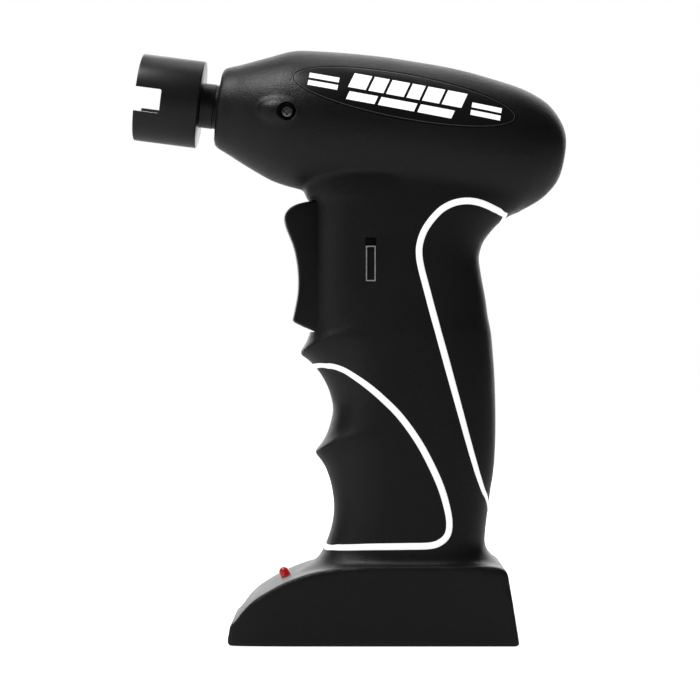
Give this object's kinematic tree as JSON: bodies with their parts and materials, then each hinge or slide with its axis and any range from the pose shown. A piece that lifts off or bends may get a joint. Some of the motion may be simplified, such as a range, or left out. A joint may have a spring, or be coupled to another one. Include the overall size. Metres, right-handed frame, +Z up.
{
  "type": "string winder",
  "caption": "Battery-powered guitar string winder: pistol-shaped housing with finger grooves, trigger, direction slider and a slotted socket that turns tuning keys.",
  "frame": {"origin": "middle of the flat underside of the foot, on the battery hatch", "axes": "+Z up, +X from the socket towards the back of the hand, +Y to the side away from the direction slider; the two housing halves meet at Y = 0"},
  "size_m": [0.1291, 0.044, 0.1744],
  "materials": {
    "shell": "satin charcoal-black moulded plastic with a fine spark-eroded grain",
    "grip": "soft-touch black insert",
    "piping": "smooth white inlay",
    "badge": "smooth black oval plate",
    "socket": "smooth dark grey-black engineering plastic",
    "trigger": "smooth satin black plastic",
    "screw": "blackened steel cross-head screw",
    "steel": "plain machined steel",
    "motor": "plain rolled metal can",
    "bronze": "sintered bronze",
    "gear": "natural acetal",
    "board": "green lacquered circuit board",
    "cell": "sleeved battery cell",
    "lens": "clear red moulded lamp",
    "red_lead": "insulated wire",
    "black_lead": "insulated wire",
    "plastic": "plain moulded plastic"
  },
  "bodies": {
    "housing": {"left_shell": "shell", "right_shell": "shell", "front_grip_left": "grip", "front_grip_right": "grip", "rear_grip_left": "grip", "rear_grip_right": "grip", "front_piping_left": "piping", "front_piping_right": "piping", "rear_piping_left": "piping", "rear_piping_right": "piping", "badge_left": "badge", "badge_right": "badge", "housing_screw_rear": "screw", "housing_screw_upper": "screw", "housing_screw_grip": "screw", "housing_screw_foot_front": "screw", "housing_screw_foot_rear": "screw", "nose_screw_left": "screw", "nose_screw_right": "screw", "hatch_screw_left": "screw", "hatch_screw_right": "screw", "gearbox_cover": "plastic", "spindle_bush": "bronze", "ring_gear": "plastic", "motor_plate": "steel", "motor_can": "motor", "motor_end_cap": "plastic", "trigger_spring": "steel", "trigger_switch": "plastic", "direction_switch": "plastic", "battery_cell_front_left": "cell", "battery_cell_front_right": "cell", "battery_cell_rear_left": "cell", "battery_cell_rear_right": "cell", "motor_lead_red": "red_lead", "motor_lead_black": "black_lead", "battery_lead_red": "red_lead", "battery_lead_black": "black_lead", "charge_lead": "black_lead", "charge_board": "board", "charge_indicator": "lens", "charge_jack": "plastic", "battery_hatch": "shell"},
    "head": {"winder_socket": "socket", "socket_screw": "steel", "output_spindle": "steel", "spindle_clip": "steel"},
    "second_planet_a": {"second_planet_1": "gear"},
    "second_planet_b": {"second_planet_2": "gear"},
    "second_planet_c": {"second_planet_3": "gear"},
    "intermediate": {"intermediate_carrier": "gear"},
    "first_planet_a": {"first_planet_1": "gear"},
    "first_planet_b": {"first_planet_2": "gear"},
    "first_planet_c": {"first_planet_3": "gear"},
    "rotor": {"motor_pinion": "bronze"},
    "finger_trigger": {"trigger": "trigger", "switch_plunger": "plastic"},
    "direction": {"direction_lever": "trigger"}
  },
  "joints": [
    {"name": "head_spin", "type": "hinge", "parent": "housing", "child": "head", "pos_m": [-0.0453, 0, 0.158], "axis": [0.9917, 0, -0.1288], "continuous": true},
    {"name": "second_planet_a_spin", "type": "hinge", "parent": "head", "child": "second_planet_a", "pos_m": [-0.01362, 0, 0.14572], "axis": [0.9917, 0, -0.1288], "continuous": true},
    {"name": "second_planet_b_spin", "type": "hinge", "parent": "head", "child": "second_planet_b", "pos_m": [-0.01205, 0.00702, 0.15777], "axis": [0.9917, 0, -0.1288], "continuous": true},
    {"name": "second_planet_c_spin", "type": "hinge", "parent": "head", "child": "second_planet_c", "pos_m": [-0.01205, -0.00702, 0.15777], "axis": [0.9917, 0, -0.1288], "continuous": true},
    {"name": "intermediate_spin", "type": "hinge", "parent": "housing", "child": "intermediate", "pos_m": [-0.0453, 0, 0.158], "axis": [0.9917, 0, -0.1288], "continuous": true},
    {"name": "first_planet_a_spin", "type": "hinge", "parent": "intermediate", "child": "first_planet_a", "pos_m": [-0.00469, 0, 0.14456], "axis": [0.9917, 0, -0.1288], "continuous": true},
    {"name": "first_planet_b_spin", "type": "hinge", "parent": "intermediate", "child": "first_planet_b", "pos_m": [-0.00313, 0.00702, 0.15661], "axis": [0.9917, 0, -0.1288], "continuous": true},
    {"name": "first_planet_c_spin", "type": "hinge", "parent": "intermediate", "child": "first_planet_c", "pos_m": [-0.00313, -0.00702, 0.15661], "axis": [0.9917, 0, -0.1288], "continuous": true},
    {"name": "motor_spin", "type": "hinge", "parent": "housing", "child": "rotor", "pos_m": [-0.0453, 0, 0.158], "axis": [0.9917, 0, -0.1288], "continuous": true},
    {"name": "trigger_slide", "type": "slide", "parent": "housing", "child": "finger_trigger", "axis": [1, 0, 0], "range_m": [0, 0.0035], "stiffness_N_per_m": 400, "springref_m": -0.005, "deforming": ["trigger_spring"]},
    {"name": "direction_slide", "type": "slide", "parent": "housing", "child": "direction", "axis": [0, 0, 1], "range_m": [0, 0.0019]}
  ],
  "couplings": [
    {"joint": "second_planet_a_spin", "follows": "head_spin", "ratio": -2.8},
    {"joint": "second_planet_b_spin", "follows": "head_spin", "ratio": -2.8},
    {"joint": "second_planet_c_spin", "follows": "head_spin", "ratio": -2.8},
    {"joint": "intermediate_spin", "follows": "head_spin", "ratio": 4.5},
    {"joint": "first_planet_a_spin", "follows": "head_spin", "ratio": -12.6},
    {"joint": "first_planet_b_spin", "follows": "head_spin", "ratio": -12.6},
    {"joint": "first_planet_c_spin", "follows": "head_spin", "ratio": -12.6},
    {"joint": "motor_spin", "follows": "head_spin", "ratio": 20.25}
  ]
}
